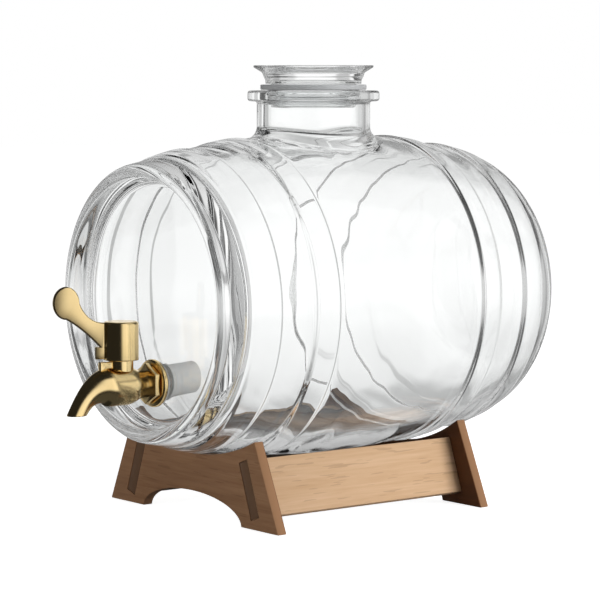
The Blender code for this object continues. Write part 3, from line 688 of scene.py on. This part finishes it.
def pulled(start, shares, end, steps):
    pull = [a + share * (b - a) for a, share, b in zip(start, shares, end)]
    return [tuple((1 - k) ** 2 * a + 2 * k * (1 - k) * m + k ** 2 * b for a, m, b in zip(start, pull, end))
            for k in (i / steps for i in range(steps + 1))]


upper = pulled((0.0052, 0.0230), (0.69, -0.10), (v["paddleForward"] - v["paddleLong"], v["paddleRise"]), 20)
lower = pulled((0.0052, 0.0112), (0.52, 0.69), (v["paddleForward"], v["paddleRise"] - v["paddleHigh"]), 20)
rim = [(v["paddleForward"] + v["paddleLong"] * cos(pi - 1.5 * pi * i / 54),
        v["paddleRise"] + v["paddleHigh"] * sin(pi - 1.5 * pi * i / 54)) for i in range(1, 54)]
armOutline = [(-v["arm"] / 2, -f, z) for f, z in upper + rim + lower[::-1]]
armMesh = thickOutline(armOutline, (v["arm"], 0, 0), 60, 0.0007, 4)
nub = softBlock((-0.0012, -0.0094, 0.0098), (0.0012, -0.0058, 0.0142), 0.0003)
socket = softBlock((-0.0016, -0.0016, 0.0140), (0.0016, 0.0016, 0.0213), 0.0001)
leverMesh = booleans(spun(softCorners(skirtCorners, 5), 96), [("UNION", armMesh), ("UNION", nub),
                                                              ("DIFFERENCE", socket)])
finishMesh(placed(leverMesh, tapPlace, Matrix.Rotation(v["restTurn"], 3, "Z")), "tapLeverCasting", goldPlate,
           "lever", "tap_lever", 28)

# the hidden valve pieces keep their CAD meshes
for nodeName, material in (("valve_plug", goldPlate), ("valve_gland_nut", goldPlate),
                           ("plug_o_ring_upper", washerSilicone), ("plug_o_ring_lower", washerSilicone)):
    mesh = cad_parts[nodeName].data
    mesh.materials.clear()
    mesh.materials.append(material)
print("tap made")

# floor, light and camera

# each light or dark patch of the world, in degrees: azimuth (counted from cameraAzimuth, + is image right),
# half width, soft edge, then height angle, half height, soft edge, and last its amount
studio = {"cameraAzimuth": 52.01, "ambient": 0.17, "keyPower": 17.0, "keyAzimuth": 120.0, "keyRise": 0.45,
          "keySize": (0.8, 0.8), "fillPower": 5.0, "fillAzimuth": -14.0, "fillRise": 0.14,
          "fillSize": (1.0, 0.3), "lampDistance": 1.2, "lampAim": (0, 0, 0.06),
          "floorColour": (0.8, 0.8, 0.8), "floorGlow": 0.88, "floorDrop": -0.0002,
          "glassGain": 1.07, "metalBase": 0.02,
          "metalLights": ((60, 38, 22, 20, 28, 16, 1.0), (68, 30, 10, 20, 28, 16, 1.12),
                          (105, 24, 12, 44, 18, 14, 1.05), (-122, 9, 6, -6, 12, 8, 0.45),
                          (170, 30, 8, -2, 14, 8, 0.35), (60, 120, 20, -62, 22, 16, 0.05)),
          "glassDarks": ((127, 20, 5, 0, 60, 20, 0.42), (152, 11, 5, 0, 60, 20, 0.30),
                         (130, 24, 6, 30, 20, 8, 0.90), (122, 14, 6, -36, 16, 8, 0.75),
                         (-122, 14, 4, 0, 60, 20, 0.90), (-154, 6, 4, 4, 12, 5, 0.45),
                         (172, 14, 8, -17, 3, 4, 0.30), (-16, 34, 12, 0, 90, 10, 0.25)),
          "glassUpDown": ((0.0, 0.60), (0.25, 0.66), (0.36, 0.78), (0.42, 0.90), (0.46, 1.0), (0.60, 1.0),
                          (0.65, 0.90), (0.68, 0.42), (0.72, 0.42), (0.75, 0.80), (0.86, 0.75), (1.0, 0.6)),
          "bounces": 32, "clearBounces": 24}
photoView = {"focalPixels": 2604.18, "pictureWidth": 600, "sensorWidth": 36,
             "place": (0.76901, -0.594905, 0.16271), "forward": (-0.78513, 0.61308, -0.08779)}


def makeFloor():
    bm = bmesh.new()
    bmesh.ops.create_grid(bm, x_segments=1, y_segments=1, size=4.0)
    bmesh.ops.translate(bm, verts=bm.verts, vec=(0, 0, studio["floorDrop"]))
    mesh = meshFrom(bm, "studioFloor")
    item = linked("studioFloor", mesh)
    material, nodes = newMaterial("floorWhite")
    rays = nodes.add("ShaderNodeLightPath")
    diffuse = nodes.add("ShaderNodeBsdfDiffuse", None, {"Color": studio["floorColour"]})
    glow = nodes.add("ShaderNodeEmission", None,
                     {"Color": (1, 1, 1), "Strength": rays.out("Is Camera Ray") * studio["floorGlow"]})
    both = nodes.add("ShaderNodeAddShader", None, {0: diffuse, 1: glow})
    clear = nodes.add("ShaderNodeBsdfTransparent")
    unseen = rays.out("Is Glossy Ray").maths("MAXIMUM", rays.out("Is Transmission Ray"))
    mixed = nodes.add("ShaderNodeMixShader", None, {0: unseen, 1: both, 2: clear})
    nodes.add("ShaderNodeOutputMaterial", None, {"Surface": mixed})
    mesh.materials.append(material)


# camera rays see white; metal sees soft patches of light on black, glass a white studio with darker patches
def makeWorld():
    world = bpy.data.worlds.new("studioWorld")
    world.use_nodes = True
    bpy.context.scene.world = world
    nodes = NodeSet(world.node_tree)
    direction = nodes.add("ShaderNodeTexCoord", None, None, "Generated")
    parts = nodes.add("ShaderNodeSeparateXYZ", None, {0: direction})
    x, y, z = parts.out("X"), parts.out("Y"), parts.out("Z")
    around = x.maths("ARCTAN2", y * -1.0) * (180 / pi) - studio["cameraAzimuth"]
    rise = z.maths("ARCSINE") * (180 / pi)

    def window(distance, half, soft):
        return nodes.add("ShaderNodeMapRange", {"interpolation_type": "SMOOTHSTEP", "clamp": True},
                         {"Value": distance, 1: half, 2: half + soft, 3: 1.0, 4: 0.0})

    def patch(azimuth, half, soft, height, halfHeight, softHeight, amount):
        turn = ((around + (900.0 - azimuth)).maths("FLOORED_MODULO", 360.0) - 180.0).maths("ABSOLUTE")
        lift = (rise - height).maths("ABSOLUTE")
        return window(turn, half, soft) * window(lift, halfHeight, softHeight) * amount

    inMetal = patch(*studio["metalLights"][0])
    for settings in studio["metalLights"][1:]:
        inMetal = inMetal.maths("MAXIMUM", patch(*settings))
    inMetal = inMetal + studio["metalBase"]
    inGlass = nodes.add("ShaderNodeValToRGB", {"stops": studio["glassUpDown"]}, {0: z * 0.5 + 0.5})
    for settings in studio["glassDarks"]:
        inGlass = inGlass * (patch(*settings) * -1.0 + 1.0)
    rays = nodes.add("ShaderNodeLightPath")
    plain = mixColour(nodes, rays.out("Is Camera Ray"), (studio["ambient"],) * 3, (1.0, 1.0, 1.0))
    shown = mixColour(nodes, rays.out("Is Glossy Ray"), plain, inMetal)
    shown = mixColour(nodes, rays.out("Is Transmission Ray"), shown, inGlass * studio["glassGain"])
    back = nodes.add("ShaderNodeBackground", None, {"Color": shown, "Strength": 1.0})
    nodes.add("ShaderNodeOutputWorld", None, {"Surface": back})


def makeLamp(name, azimuth, rise, size, power):
    lamp = bpy.data.lights.new(name, "AREA")
    lamp.shape = "RECTANGLE"
    lamp.size, lamp.size_y = size
    lamp.energy = power
    item = linked(name, lamp)
    distance = studio["lampDistance"]
    place = Vector((sin(radians(azimuth)) * distance, -cos(radians(azimuth)) * distance, rise))
    item.location = place
    item.rotation_euler = (Vector(studio["lampAim"]) - place).to_track_quat("-Z", "Y").to_euler()
    item.visible_camera = item.visible_glossy = item.visible_transmission = False


makeFloor()
makeWorld()
makeLamp("keyLamp", studio["keyAzimuth"], studio["keyRise"], studio["keySize"], studio["keyPower"])
makeLamp("fillLamp", studio["fillAzimuth"], studio["fillRise"], studio["fillSize"], studio["fillPower"])

camera = bpy.data.cameras.new("photoCamera")
camera.lens = photoView["focalPixels"] / photoView["pictureWidth"] * photoView["sensorWidth"]
camera.sensor_width = photoView["sensorWidth"]
cameraItem = linked("photoCamera", camera)
cameraItem.location = photoView["place"]
cameraItem.rotation_euler = Vector(photoView["forward"]).to_track_quat("-Z", "Y").to_euler()

scene = bpy.context.scene
scene.camera = cameraItem
scene.view_settings.view_transform = "Standard"
scene.cycles.max_bounces = studio["bounces"]
scene.cycles.glossy_bounces = studio["bounces"]
scene.cycles.transmission_bounces = studio["bounces"]
scene.cycles.transparent_max_bounces = studio["clearBounces"]
print("studio made")
